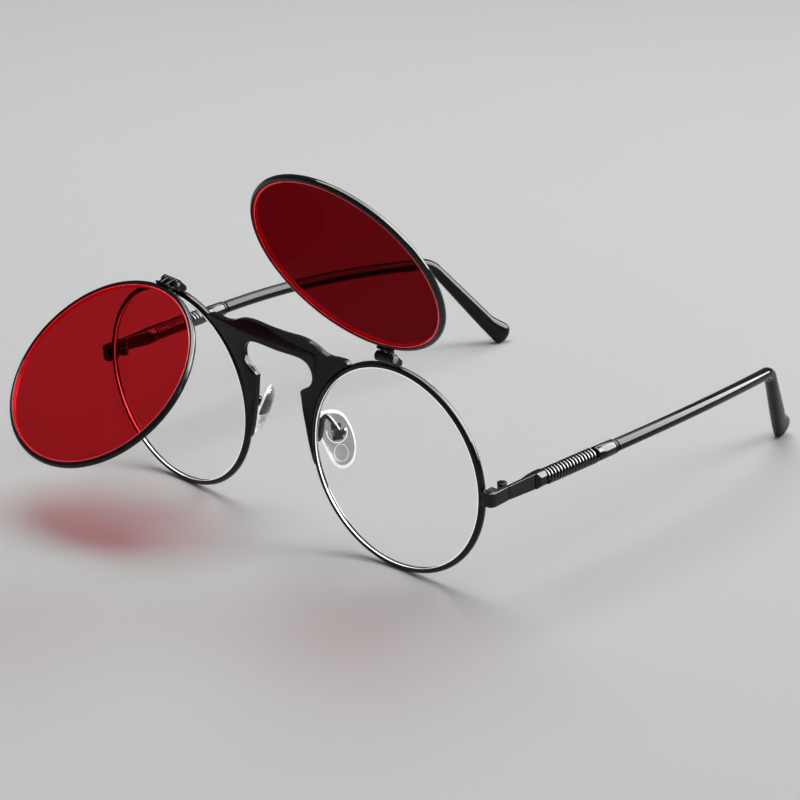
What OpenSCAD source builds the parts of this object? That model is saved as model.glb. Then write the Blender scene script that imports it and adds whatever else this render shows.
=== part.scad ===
// Round metal spectacles with a separate tinted lens hinged over each clear lens.
// Millimetres, +Z up, +Y towards the ear tips, +X towards the wearer's left.
// The rims and the ear tips stand on Z = 0.

/* [Front] */
// Distance of each rim centre from the middle plane
rim_x = 35.9; // [34.5:0.1:37]
// Wrap of each rim about the vertical, outer edge back
wrap = 2.5; // [0:0.5:4]
// Radius of the circle that the rim section is centred on
rim_r = 24.7; // [24:0.1:25.2]
// Half depth of the rim section
rim_h = 0.95; // [0.8:0.05:1.1]
// Thickness of the clear lens
lens_t = 1.7; // [1.2:0.1:2]
// Thickness of the flat bridge plate
bridge_t = 1.5; // [1:0.1:2]

/* [Tinted flips] */
// How far the wearer's left flip is raised from closed
left_raise = 154.1; // [0:0.1:165]
// How far the wearer's right flip is raised from closed
right_raise = 50.7; // [0:0.1:165]
// Height of the flip hinge pin above the rim centre
hinge_z = 27.76; // [27.7:0.02:28.2]
// Thickness of the tinted lens
tint_t = 1.3; // [1:0.1:1.6]

/* [Temples] */
// Outer diameter of the coil spring
coil_d = 4.0; // [3.6:0.1:4.1]
// Diameter of the spring wire
coil_wire = 0.74; // [0.6:0.02:0.8]
// Number of turns of the spring
coil_turns = 16; // [12:1:18]
// Diameter of the plastic sleeve in front of the ear bend
sleeve_d = 2.9; // [2.7:0.1:3.2]
// Width of the paddle along the ear tip
paddle_w = 4.6; // [4:0.1:5.5]
// How much the last few millimetres of the paddle swell to the rear
foot_w = 1.5; // [0:0.1:2]
// Thickness of the paddle at the ear tip
paddle_t = 3.2; // [3:0.1:3.6]

/* [Nose pads] */
// Length of a nose pad
pad_len = 13.9; // [12.5:0.1:14.5]
// Width of a nose pad
pad_wid = 8.5; // [7.5:0.1:8.8]
// Thickness of a nose pad in its middle
pad_thk = 2.6; // [2.2:0.1:3]

/* [Hidden] */
$fn = 96;
// Stance: the front leans forward by stance, so that rims and ear tips touch the floor
stance = 4.4197;
lift = 25.5757;
back = -46.685;
fit = 0.02;          // gap of a brazed or pressed joint
run = 0.05;          // radial gap of a hinge pin

module place() { translate([0, back, lift]) rotate([stance, 0, 0]) children(); }
module side(s) { if (s > 0) children(); else mirror([1, 0, 0]) children(); }
// frame of one rim: X across, -Y forward, Z up, origin in the rim centre
module at_rim() { translate([rim_x, 0, 0]) rotate([0, 0, wrap]) children(); }
// frame of one flip hinge: X along the pin
hinge_y = -1.67;
hinge_in = 1.8;
flip_y = -3.0;
module at_hinge() { at_rim() rotate([0, -hinge_in, 0]) translate([0, hinge_y, hinge_z]) children(); }
// frame of one flip lens, raised by a
module at_flip(a) { at_hinge() rotate([-a, 0, 0]) translate([0, flip_y - hinge_y, -hinge_z]) children(); }
// turns a Z axis into the lens axis
module ring() { rotate([90, 0, 0]) children(); }
module rim_envelope() { ring() cylinder(r = rim_r + rim_h + fit, h = 9, center = true, $fn = 180); }
module xcyl(r, x0, x1) { translate([x0, 0, 0]) rotate([0, 90, 0]) cylinder(r = r, h = x1 - x0, $fn = 48); }
module box(a, b) { translate(a) cube(b - a); }
module yz(x0, x1, pts) { translate([x0, 0, 0]) rotate([90, 0, 90]) linear_extrude(height = x1 - x0) polygon(pts); }

function unit(v) = v / norm(v);
function catmull(p, t) = let (n = len(p), i = min(floor(t), n - 2), u = t - i,
  a = p[max(i - 1, 0)], b = p[i], c = p[i + 1], d = p[min(i + 2, n - 1)])
  0.5 * (2 * b + (c - a) * u + (2 * a - 5 * b + 4 * c - d) * u * u + (3 * b - a - 3 * c + d) * u * u * u);
// rings of points joined into a closed skin
module skin(rings) {
  n = len(rings[0]); m = len(rings);
  polyhedron(points = [for (r = rings) each r],
    faces = concat([[for (i = [0 : n - 1]) n - 1 - i]],
      [for (k = [0 : m - 2]) for (i = [0 : n - 1]) each
        [[k * n + i, k * n + (i + 1) % n, (k + 1) * n + i], [k * n + (i + 1) % n, (k + 1) * n + (i + 1) % n, (k + 1) * n + i]]],
      [[for (i = [0 : n - 1]) (m - 1) * n + i]]));
}

// ---------- rims and clear lenses ----------
gap_z = 0.6;   // height of the slit in each rim, inside the endpiece
module rim() {
  color("#141416") at_rim() difference() {
    ring() rotate_extrude($fn = 180) difference() {
      union() {
        translate([rim_r, 0]) circle(r = rim_h, $fn = 48);
        translate([rim_r - 0.35, -rim_h]) square([0.35, 2 * rim_h]);
      }
      polygon([[rim_r - 2, -3], [rim_r - 0.35, -3], [rim_r - 0.35, -0.45], [rim_r + 0.1, 0], [rim_r - 0.35, 0.45], [rim_r - 0.35, 3], [rim_r - 2, 3]]);
    }
    box([22, -3, gap_z - 0.06], [28, 3, gap_z + 0.06]);
  }
}
module clear_lens() {
  e = rim_r - 0.4; h = lens_t / 2;
  color([0.9, 0.93, 0.95, 0.3]) at_rim() ring() rotate_extrude($fn = 180)
    polygon([[0, -h], [e - 0.15, -h], [e, -h + 0.15], [e, -0.42], [e + 0.44, 0], [e, 0.42], [e, h - 0.15], [e - 0.15, h], [0, h]]);
}

// ---------- bridge plate: flat keyhole bridge cut to the rims ----------
bridge_top = [[23.4, 21.6], [22.5, 23.0], [19.5, 23.0], [17.3, 22.75], [15.5, 23.05], [14.3, 23.4], [13, 24.0], [11.7, 24.45], [10.3, 24.72], [8.3, 24.9], [6.4, 24.88], [4.6, 24.75], [2.3, 24.62], [0, 24.6]];
bridge_eye = [[0, 19.6], [2.5, 19.68], [5.2, 19.8], [7.6, 19.72], [9.3, 19.3], [10.4, 18.45], [11.1, 17.3], [11.35, 16], [11.1, 14.75], [10.4, 13.65], [9.5, 12.95], [8.5, 12.35], [7.7, 11.8], [7.25, 11.1], [7.45, 10], [7.6, 8.5], [7.8, 6.8], [8.1, 5], [8.5, 3.2], [9.0, 0.4], [9.65, -2.4], [10.5, -5.2], [11.3, -6.6]];
function smooth2(p, k) = [for (i = [0 : (len(p) - 1) * k]) catmull(p, i / k)];
module bridge_plate() {
  top = smooth2(bridge_top, 4);
  eye = smooth2(bridge_eye, 4);
  half = concat(top, eye);
  outline = concat(half, [[14, -6.6], [16, 5], [20, 14]]);
  color("#141416") difference() {
    for (s = [1, -1]) side(s) translate([0, -1.0 + bridge_t / 2, 0]) rotate([90, 0, 0]) linear_extrude(height = bridge_t) polygon(outline);
    for (s = [1, -1]) side(s) at_rim() rim_envelope();
  }
}

// ---------- endpiece, rim lock and temple hinge ----------
ep_z0 = -1.1; ep_z1 = 2.3;            // strap height
pin_x = 62.3; pin_y = 5.9;            // temple hinge pin
kn_r = 1.1;                           // hinge barrel radius
kn_z = [-1.15, 0.0, 0.05, 1.1, 1.15, 2.1];
module strap_outline() {
  polygon(concat([[61.0, 1.2], [61.0, -0.3], [63.2, -0.3]],
    [for (a = [-80 : 10 : 0]) [63.25 + 1.4 * cos(a), 1.1 + 1.4 * sin(a)]],
    [[64.65, 5.55], [63.55, 5.55], [63.55, 1.9], [63.3, 1.4], [62.9, 1.2]]));
}
module offset_strap() { polygon([[60, 1.22], [62.92, 1.22], [63.33, 1.42], [63.57, 1.92], [63.57, 6], [65, 6], [65, -1], [60, -1]]); }
module endpiece() {
  color("#141416") difference() {
    union() {
      translate([0, 0, ep_z0]) linear_extrude(height = ep_z1 - ep_z0) strap_outline();
      for (k = [0, 4]) translate([0, 0, kn_z[k]]) linear_extrude(height = kn_z[k + 1] - kn_z[k]) {
        translate([pin_x, pin_y]) circle(r = kn_r, $fn = 48);
        polygon([[pin_x, pin_y - 1.1], [63.6, 4.2], [63.6, 5.55], [pin_x + 0.6, pin_y]]);
      }
    }
    at_rim() rim_envelope();
    translate([pin_x, pin_y, -3]) cylinder(r = 0.5 + run, h = 8, $fn = 48);
  }
}
module temple_hinge_screws() {
  color("#8f9196") for (s = [1, -1]) side(s) translate([pin_x, pin_y, 0]) difference() {
    union() {
      translate([0, 0, -1.3]) cylinder(r = 0.5, h = 3.45, $fn = 48);
      translate([0, 0, 2.12]) cylinder(r = 1.15, h = 0.34, $fn = 48);
    }
    box([-1.3, -0.14, 2.3], [1.3, 0.14, 3]);
  }
}
lock_x = 62.3; lock_y = 2.5;
module rim_lock() {
  color("#1b1b1e") difference() {
    for (z = [[ep_z0 + 0.1, gap_z - 0.06], [gap_z + 0.06, ep_z1 - 0.25]])
      box([61.0, 1.25, z[0]], [63.25, 3.5, z[1]]);
    translate([0, 0, -4]) linear_extrude(height = 9) offset_strap();
    at_rim() rim_envelope();
    translate([lock_x, lock_y, -3]) cylinder(r = 0.42, h = 8, $fn = 48);
  }
}
module rim_lock_screws() {
  color("#8f9196") for (s = [1, -1]) side(s) translate([lock_x, lock_y, 0]) difference() {
    union() {
      // the head is underneath
      translate([0, 0, ep_z0 + 0.02]) cylinder(r = 0.4, h = 3.1, $fn = 48);
      translate([0, 0, ep_z0 + 0.1 - fit - 0.35]) cylinder(r = 0.75, h = 0.35, $fn = 48);
    }
    box([-1.2, -0.11, -3], [1.2, 0.11, ep_z0 - 0.1]);
  }
}

// ---------- flip hinge ----------
hk = [-2.5, -1.54, -1.49, -0.525, -0.475, 0.475, 0.525, 1.49, 1.54, 2.5];
hb_r = 1.2;
module flip_hinge_base() {
  color("#141416") at_hinge() difference() {
    union() {
      box([-2.5, 0.72, -3.0], [2.5, 2.6, -1.15]);
      for (k = [0, 4, 8]) {
        xcyl(hb_r, hk[k], hk[k + 1]);
        yz(hk[k], hk[k + 1], [[0, 0], [1.15, 0.35], [2.6, -1.15], [2.6, -1.6], [0.72, -1.6], [0.55, -1.0]]);
      }
    }
    translate([0, -hinge_y, -hinge_z]) rim_envelope();
    xcyl(0.45 + run, -4, 4);
  }
}
module flip_hinge_pins() {
  color("#8f9196") for (s = [1, -1]) side(s) at_hinge() difference() {
    union() {
      xcyl(0.45, -2.7, 2.6);
      xcyl(0.85, 2.5 + fit, 2.9);
    }
    box([2.72, -0.12, -2], [3.5, 0.12, 2]);
  }
}
module flip_leaf(a) {
  color("#141416") at_hinge() rotate([-a, 0, 0]) difference() {
    union() {
      box([-2.3, -2.2, -3.0], [2.3, -0.42, -1.6]);
      for (k = [2, 6]) {
        xcyl(hb_r, hk[k], hk[k + 1]);
        yz(hk[k], hk[k + 1], [[0, 0], [-1.15, 0.35], [-2.2, -1.6], [-2.2, -1.9], [-0.42, -1.9], [-0.42, -1.1]]);
      }
    }
    translate([0, flip_y - hinge_y, -hinge_z]) ring() cylinder(r = flip_ro + fit, h = 9, center = true, $fn = 180);
    xcyl(0.45 + run, -4, 4);
  }
}
flip_rr = 24.75; flip_h = 0.85; flip_ro = flip_rr + flip_h;
module flip_rim(a) {
  color("#141416") at_flip(a) ring() rotate_extrude($fn = 180) difference() {
    union() {
      translate([flip_rr, 0]) circle(r = flip_h, $fn = 48);
      translate([flip_rr - 0.3, -flip_h]) square([0.3, 2 * flip_h]);
    }
    polygon([[flip_rr - 2, -3], [flip_rr - 0.3, -3], [flip_rr - 0.3, -0.4], [flip_rr + 0.1, 0], [flip_rr - 0.3, 0.4], [flip_rr - 0.3, 3], [flip_rr - 2, 3]]);
  }
}
module flip_lens(a, c) {
  e = flip_rr - 0.35; h = tint_t / 2;
  color(c) at_flip(a) ring() rotate_extrude($fn = 180)
    polygon([[0, -h], [e - 0.15, -h], [e, -h + 0.15], [e, -0.38], [e + 0.39, 0], [e, 0.38], [e, h - 0.15], [e - 0.15, h], [0, h]]);
}

// ---------- nose pads on their arms ----------
pad_c = [12.66, 4.97, -1.81];
pad_l = unit([0.346, -0.184, -0.925]);              // long way, downwards
pad_n0 = [0.776, -0.495, 0.389];                    // towards the lens
pad_n = unit(pad_n0 - (pad_n0 * pad_l) * pad_l);
pad_w = cross(pad_n, pad_l);                        // across
// frame of one pad: X across, Y towards the nose, Z up along the pad
module at_pad() {
  multmatrix([[pad_w[0], -pad_n[0], -pad_l[0], pad_c[0]], [pad_w[1], -pad_n[1], -pad_l[1], pad_c[1]], [pad_w[2], -pad_n[2], -pad_l[2], pad_c[2]], [0, 0, 0, 1]]) children();
}
piv = [0, -2.3, 2.1];                               // screw of the pad in its frame
// outline of a pad: broad top leaning to the rim, narrower foot
pad_out = [[1.3, 6.8], [2.4, 5.7], [3.3, 3.7], [3.95, 1.2], [4.1, -1.6], [3.65, -3.8], [2.75, -5.5], [1.4, -6.45], [-0.1, -6.55],
  [-1.4, -5.75], [-2.2, -4.4], [-2.9, -2.6], [-3.55, -0.4], [-4.15, 1.7], [-4.4, 4.0], [-4.0, 6.0], [-2.7, 7.2], [-0.6, 7.4]];
function closed(p, t) = let (n = len(p), i = floor(t) % n, u = t - floor(t), a = p[(i + n - 1) % n], b = p[i], c = p[(i + 1) % n], d = p[(i + 2) % n])
  0.5 * (2 * b + (c - a) * u + (2 * a - 5 * b + 4 * c - d) * u * u + (3 * b - a - 3 * c + d) * u * u * u);
function pad_rim(t) = let (p = closed(pad_out, t * len(pad_out))) [p[0] * pad_wid / 8.5, p[1] * pad_len / 13.9];
module nose_pad() {
  n = 36;
  // crowned towards the nose, flat with rounded edges towards the lens
  lay = [[0.30, 1.0], [0.62, 0.88], [0.84, 0.56], [0.96, 0.12], [1.0, -0.35], [0.97, -0.75], [0.9, -0.96], [0.8, -1.0]];
  color([0.88, 0.9, 0.92, 0.6]) at_pad() difference() {
    skin([for (q = lay) [for (i = [0 : n - 1]) let (p = pad_rim(i / n) * q[0])
      [p[0], q[1] > 0 ? q[1] * (pad_thk - 1.0) : q[1], p[1]]]]);
    box([-1.25, -1.5, piv[2] - 1.95], [1.25, -0.3, piv[2] + 1.95]);
  }
}
module pad_core() {
  color("#55575c") at_pad() difference() {
    union() {
      box([-1.23, -1.02, piv[2] - 1.93], [1.23, -0.32, piv[2] + 1.93]);
      box([-0.6, piv[1] - 0.3, piv[2] - 1.0], [0.6, -1.0, piv[2] + 1.0]);
      translate(piv) xcyl(0.8, -0.6, 0.6);
    }
    translate(piv) xcyl(0.35 + run, -3, 3);
  }
}
module nose_pad_screws() {
  color("#8f9196") for (s = [1, -1]) side(s) at_pad() translate(piv) difference() {
    union() {
      xcyl(0.35, -1.6, 1.4);
      xcyl(0.75, 1.33 + fit, 1.75);
    }
    box([1.58, -0.12, -2], [2.4, 0.12, 2]);
  }
}
arm_pts = [[10.9, -0.35, -0.5], [11.1, 0.75, 0.1], [11.1, 1.45, 2.3], [11.15, 1.9, 4.2], [11.75, 2.65, 5.05], [12.75, 2.95, 4.3], [13.9, 3.25, 2.95], [14.65, 3.35, 1.95]];
arm_r = 0.6;
module arm_wire() {
  k = 4; n = 10; m = (len(arm_pts) - 1) * k;
  path = [for (i = [0 : m]) catmull(arm_pts, i / k)];
  dir = [for (i = [0 : m]) unit(path[min(i + 1, m)] - path[max(i - 1, 0)])];
  ref = [0.92, -0.32, 0.22];
  skin([for (i = [0 : m]) let (x = unit(cross(dir[i], ref)), y = cross(dir[i], x))
    [for (j = [0 : n - 1]) path[i] + arm_r * (x * cos(-360 * j / n) + y * sin(-360 * j / n))]]);
}
module pad_arm() {
  color("#2a2a2e") difference() {
    union() {
      arm_wire();
      at_pad() {
        // clevis round the pad core: two ears and the plate that joins them
        for (x = [[-1.3, -0.66], [0.66, 1.3]]) {
          translate(piv) xcyl(0.85, x[0], x[1]);
          box([x[0], piv[1] - 1.75, piv[2] - 0.85], [x[1], piv[1], piv[2] + 0.85]);
        }
        box([-1.3, piv[1] - 1.75, piv[2] - 0.85], [1.3, piv[1] - 1.4, piv[2] + 0.85]);
      }
    }
    at_rim() ring() rotate_extrude($fn = 180) translate([rim_r - 0.37, -rim_h - fit]) square([1.4, 2 * rim_h + 2 * fit]);
    at_pad() translate(piv) xcyl(0.35 + fit, -3, 3);
  }
}

// ---------- temple ----------
t0 = [64.07, 6, 0.53];                    // middle of the temple plate at its front end
t_dip = 2.42; t_in = 1.386;
td0 = [-sin(-t_in) * cos(t_dip), cos(t_in) * cos(t_dip), -sin(t_dip)];
module at_temple() { translate(t0) rotate([-t_dip, 0, -t_in]) children(); }
len_straight = 36.04;
arc_r = 248.8; arc_len = 68.9; arc_dir = 26.85;
arc_a = arc_len / arc_r * 180 / PI;
te = unit([-cos(arc_dir), 0, -sin(arc_dir)] - (td0 * [-cos(arc_dir), 0, -sin(arc_dir)]) * td0);
tp1 = t0 + td0 * len_straight;
td1 = td0 * cos(arc_a) + te * sin(arc_a);
tp2 = tp1 + te * arc_r * (1 - cos(arc_a)) + td0 * arc_r * sin(arc_a);
bend_r = 8; bend_a = 42.6;
tb0 = [-0.1733, -0.2045, -0.9636];
tb = unit(tb0 - (tb0 * td1) * td1);
td2 = td1 * cos(bend_a) + tb * sin(bend_a);
tp3 = tp2 + tb * bend_r * (1 - cos(bend_a)) + td1 * bend_r * sin(bend_a);
tip_len = 31.6;
bend_len = bend_r * bend_a * PI / 180;
total_len = arc_len + bend_len + tip_len;
// point and direction at length s behind the rear ferrule
function tp(s) = s < arc_len ? let (a = s / arc_r * 180 / PI) tp1 + te * arc_r * (1 - cos(a)) + td0 * arc_r * sin(a)
  : s < arc_len + bend_len ? let (a = (s - arc_len) / bend_r * 180 / PI) tp2 + tb * bend_r * (1 - cos(a)) + td1 * bend_r * sin(a)
  : tp3 + td2 * (s - arc_len - bend_len);
function tdir(s) = s < arc_len ? let (a = s / arc_r * 180 / PI) td0 * cos(a) + te * sin(a)
  : s < arc_len + bend_len ? let (a = (s - arc_len) / bend_r * 180 / PI) td1 * cos(a) + tb * sin(a) : td2;
tnorm = unit(cross(td1, tb));
module temple_plate() {
  color("#141416") difference() {
    union() {
      at_temple() intersection() {
        rotate([90, 0, 90]) linear_extrude(height = 4, center = true) polygon([[-0.25, -1.65], [8.62, -1.9], [8.62, 1.9], [-0.25, 1.65]]);
        union() {
          box([-0.5, -0.25, -2], [0.5, 8.62, 2]);
          yzt();
        }
      }
      translate([0, 0, kn_z[2]]) linear_extrude(height = kn_z[3] - kn_z[2]) {
        translate([pin_x, pin_y]) circle(r = kn_r, $fn = 48);
        polygon([[pin_x, pin_y + 1.1], [63.7, 7.6], [63.7, 5.95], [pin_x + 0.6, pin_y]]);
      }
    }
    translate([pin_x, pin_y, -3]) cylinder(r = 0.5 + run, h = 8, $fn = 48);
  }
}
// the plate thickens towards the ferrule
module yzt() {
  translate([0, 0, -2]) linear_extrude(height = 4) polygon([[-0.5, 4.6], [0.5, 4.6], [0.5, 8.62], [-1.1, 8.62], [-1.1, 7.2]]);
}
module chamfer_bar(y0, y1, w, h, c, e) {
  // bar along Y that widens from the plate, with its four long edges cut by c and its rear end drawn in by e
  intersection() {
    translate([0, y1, 0]) rotate([90, 0, 0]) linear_extrude(height = y1 - y0)
      polygon([[-w + c, -h], [w - c, -h], [w, -h + c], [w, h - c], [w - c, h], [-w + c, h], [-w, h - c], [-w, -h + c]]);
    translate([-w, 0, 0]) rotate([90, 0, 90]) linear_extrude(height = 2 * w)
      polygon([[y0, -h + 0.1], [y0 + 0.1, -h], [y1 - e, -h], [y1, -h + e], [y1, h - e], [y1 - e, h], [y0 + 0.1, h], [y0, h - 0.1]]);
    translate([0, 0, -h]) linear_extrude(height = 2 * h)
      polygon([[-0.9, y0], [0.72, y0], [w, y0 + 0.7], [w, y1 - e], [w - e, y1], [-w + e, y1], [-w, y1 - e], [-w, y0 + 1.2]]);
  }
}
module front_ferrule() {
  color("#141416") at_temple() difference() {
    translate([-0.2, 0, 0]) chamfer_bar(8.64, 11.4, 1.75, 1.95, 0.95, 0.25);
    translate([0, 9.4, 0]) rotate([-90, 0, 0]) cylinder(r = 0.7 + fit, h = 4, $fn = 48);
  }
}
coil_y0 = 11.42; coil_y1 = 28.88;
module coil_spring() {
  n = 16; m = 7; r = (coil_d - coil_wire) / 2; w = coil_wire / 2;
  pitch = (coil_y1 - coil_y0 - coil_wire) / coil_turns;
  c = pitch / (2 * PI * r); q = sqrt(1 + c * c);
  color("#1a1a1d") at_temple() translate([0, coil_y0 + w, 0])
    skin([for (k = [0 : coil_turns * n]) let (a = 360 * k / n, u = [cos(a), 0, sin(a)], t = [-sin(a) / q, c / q, cos(a) / q], b = cross(u, t))
      [for (j = [0 : m - 1]) u * r + [0, pitch * k / n, 0] + w * (u * cos(360 * j / m) + b * sin(360 * j / m))]]);
}
wire_r = 0.7;
module core_wire() {
  // one steel wire from the front ferrule to the start of the ear bend
  n = 12;
  stops = concat([9.5, 16, 22, 28, 34], [for (i = [0 : 14]) len_straight + arc_len * i / 14]);
  color("#3a3a3e") skin([for (q = stops) let (s = q - len_straight, d = s < 0 ? td0 : tdir(min(s, arc_len - 0.001)),
      c = s < 0 ? tp1 + td0 * s : tp(s), x = unit(cross(tnorm, d)), y = cross(d, x))
    [for (j = [0 : n - 1]) c + wire_r * (x * cos(-360 * j / n) + y * sin(-360 * j / n))]]);
}
module rear_ferrule() {
  color("#141416") at_temple() difference() {
    union() {
      translate([0, 29.0, 0]) rotate([-90, 0, 0]) cylinder(r1 = 1.6, r2 = 1.85, h = 0.35, $fn = 64);
      translate([0, 29.35, 0]) rotate([-90, 0, 0]) cylinder(r = 1.85, h = 6.2, $fn = 64);
      translate([0, 35.55, 0]) rotate([-90, 0, 0]) cylinder(r1 = 1.85, r2 = 1.55, h = 0.35, $fn = 64);
    }
    translate([0, 28, 0]) rotate([-90, 0, 0]) cylinder(r = wire_r + fit, h = 9, $fn = 48);
  }
}
// sleeve half sizes at length s: wide way and thick way
function sl_grow(s) = let (u = max(0, min(1, (s - arc_len + 2) / (total_len - arc_len - 2)))) u * u * (3 - 2 * u);
function sl_end(s) = s > total_len - 2.4 ? sqrt(max(0.0, 1 - pow((s - total_len + 2.4) / 2.4, 2))) : 1;
// swelling of the end to the rear, 0 to 1
function sl_foot(s) = let (u = max(0, min(1, (s - total_len + 9) / 7))) u * u * (3 - 2 * u);
function sl_w(s) = (sleeve_d / 2 + (paddle_w / 2 - sleeve_d / 2) * sl_grow(s) + foot_w / 2 * sl_foot(s)) * sl_end(s);
function sl_t(s) = (sleeve_d / 2 + (paddle_t / 2 - sleeve_d / 2) * sl_grow(s)) * sl_end(s);
module ear_sleeve() {
  n = 18; nb = 10;
  s0 = 0.25;
  stops = concat([for (i = [0 : 14]) s0 + (arc_len - s0) * i / 15], [for (i = [0 : 7]) arc_len + bend_len * i / 8],
    [for (i = [0 : 8]) arc_len + bend_len + (tip_len - 2.4) * i / 9], [for (a = [0 : 15 : 75]) total_len - 2.4 + 2.4 * sin(a)], [total_len - 0.03]);
  bore_end = arc_len + bend_len * 0 + 0.2;
  bores = concat([for (i = [0 : 15]) s0 + (arc_len - s0) * i / 15], [bore_end]);
  outer = [for (s = stops) let (d = tdir(s), x = unit(cross(tnorm, d)), y = cross(d, x))
    [for (j = [0 : n - 1]) tp(s) - x * foot_w / 2 * sl_foot(s) + x * max(0.16, sl_w(s)) * cos(-360 * j / n) + y * max(0.11, sl_t(s)) * sin(-360 * j / n)]];
  inner = [for (s = bores) let (d = tdir(s), x = unit(cross(tnorm, d)), y = cross(d, x))
    [for (j = [0 : nb - 1]) tp(s) + (x * cos(-360 * j / nb) + y * sin(-360 * j / nb)) * 0.79]];
  color("#101012") difference() {
    skin(outer);
    skin(concat([[for (p = inner[0]) p - td0]], inner));
  }
}

place() bridge_plate();
place() side(1) rim();  // left_rim
place() side(-1) rim();  // right_rim
place() side(1) clear_lens();  // left_clear_lens
place() side(-1) clear_lens();  // right_clear_lens
place() side(1) rim_lock();  // left_rim_lock
place() side(-1) rim_lock();  // right_rim_lock
place() rim_lock_screws();
place() side(1) endpiece();  // left_endpiece
place() side(-1) endpiece();  // right_endpiece
place() temple_hinge_screws();
place() side(1) flip_hinge_base();  // left_flip_hinge_base
place() side(-1) flip_hinge_base();  // right_flip_hinge_base
place() flip_hinge_pins();
place() side(1) flip_leaf(left_raise);  // left_flip_leaf
place() side(-1) flip_leaf(right_raise);  // right_flip_leaf
place() side(1) flip_rim(left_raise);  // left_flip_rim
place() side(-1) flip_rim(right_raise);  // right_flip_rim
place() side(1) flip_lens(left_raise, [0.45, 0.03, 0.05, 0.85]);  // left_flip_lens
place() side(-1) flip_lens(right_raise, [0.8, 0.06, 0.09, 0.8]);  // right_flip_lens
place() side(1) pad_arm();  // left_pad_arm
place() side(-1) pad_arm();  // right_pad_arm
place() nose_pad_screws();
place() side(1) pad_core();  // left_pad_core
place() side(-1) pad_core();  // right_pad_core
place() side(1) nose_pad();  // left_nose_pad
place() side(-1) nose_pad();  // right_nose_pad
place() side(1) temple_plate();  // left_temple_plate
place() side(-1) temple_plate();  // right_temple_plate
place() side(1) front_ferrule();  // left_front_ferrule
place() side(-1) front_ferrule();  // right_front_ferrule
place() side(1) coil_spring();  // left_coil_spring
place() side(-1) coil_spring();  // right_coil_spring
place() side(1) core_wire();  // left_core_wire
place() side(-1) core_wire();  // right_core_wire
place() side(1) rear_ferrule();  // left_rear_ferrule
place() side(-1) rear_ferrule();  // right_rear_ferrule
place() side(1) ear_sleeve();  // left_ear_sleeve
place() side(-1) ear_sleeve();  // right_ear_sleeve
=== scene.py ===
import math
import bmesh
import bpy
import numpy as np
from mathutils import Matrix, Vector


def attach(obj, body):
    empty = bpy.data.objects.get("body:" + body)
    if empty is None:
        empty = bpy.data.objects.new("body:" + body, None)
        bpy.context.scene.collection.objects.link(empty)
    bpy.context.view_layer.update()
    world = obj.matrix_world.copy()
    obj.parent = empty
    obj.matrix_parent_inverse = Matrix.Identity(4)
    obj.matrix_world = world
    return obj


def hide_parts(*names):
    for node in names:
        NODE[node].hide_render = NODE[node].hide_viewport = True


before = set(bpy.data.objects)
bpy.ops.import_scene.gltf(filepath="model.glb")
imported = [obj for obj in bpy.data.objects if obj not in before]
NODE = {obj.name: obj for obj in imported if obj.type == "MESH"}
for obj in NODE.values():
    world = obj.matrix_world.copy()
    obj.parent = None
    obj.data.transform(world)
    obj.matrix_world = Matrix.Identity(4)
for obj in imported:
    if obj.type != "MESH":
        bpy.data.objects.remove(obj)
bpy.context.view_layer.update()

# ------------------------------------------------------------------ shared frame, as in the CAD (mm, then metres)
STANCE, BACK, LIFT = math.radians(4.4197), -46.685, 25.5757
CS, SN = math.cos(STANCE), math.sin(STANCE)
ROT = np.array([[1, 0, 0], [0, CS, -SN], [0, SN, CS]])
OFF = np.array([0, BACK, LIFT])
RIM_X, WRAP = 35.9, math.radians(2.5)
RIM_R, RIM_H, LENS_T = 24.7, 0.95, 1.7
HINGE_Y, HINGE_Z, HINGE_IN, FLIP_Y = -1.67, 27.76, math.radians(1.8), -3.0
FLIP_RR, FLIP_H, TINT_T = 24.75, 0.85, 1.3
RAISE = {"left": math.radians(154.1), "right": math.radians(50.7)}


def unit(v):
    v = np.asarray(v, float)
    return v / np.linalg.norm(v)


def rx(a):
    c, s = math.cos(a), math.sin(a)
    return np.array([[1, 0, 0], [0, c, -s], [0, s, c]])


def ry(a):
    c, s = math.cos(a), math.sin(a)
    return np.array([[c, 0, s], [0, 1, 0], [-s, 0, c]])


def rz(a):
    c, s = math.cos(a), math.sin(a)
    return np.array([[c, -s, 0], [s, c, 0], [0, 0, 1]])


def rim_space(p):
    """Points of one rim's own frame (X across, -Y forward, Z up) in the frame of the spectacles."""
    return np.asarray(p, float) @ rz(WRAP).T + [RIM_X, 0, 0]


def hinge_space(p):
    return rim_space(np.asarray(p, float) @ ry(-HINGE_IN).T + ry(-HINGE_IN) @ [0, HINGE_Y, HINGE_Z])


def flip_space(p, a):
    q = np.asarray(p, float) + [0, FLIP_Y - HINGE_Y, -HINGE_Z]
    return hinge_space(q @ rx(-a).T)


def catmull(p, k):
    p = np.asarray(p, float)
    out = []
    for i in range(len(p) - 1):
        a, b, c, d = p[max(i - 1, 0)], p[i], p[i + 1], p[min(i + 2, len(p) - 1)]
        for j in range(k):
            u = j / k
            out.append(0.5 * (2 * b + (c - a) * u + (2 * a - 5 * b + 4 * c - d) * u * u + (3 * b - a - 3 * c + d) * u ** 3))
    out.append(p[-1])
    return np.array(out)


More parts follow.
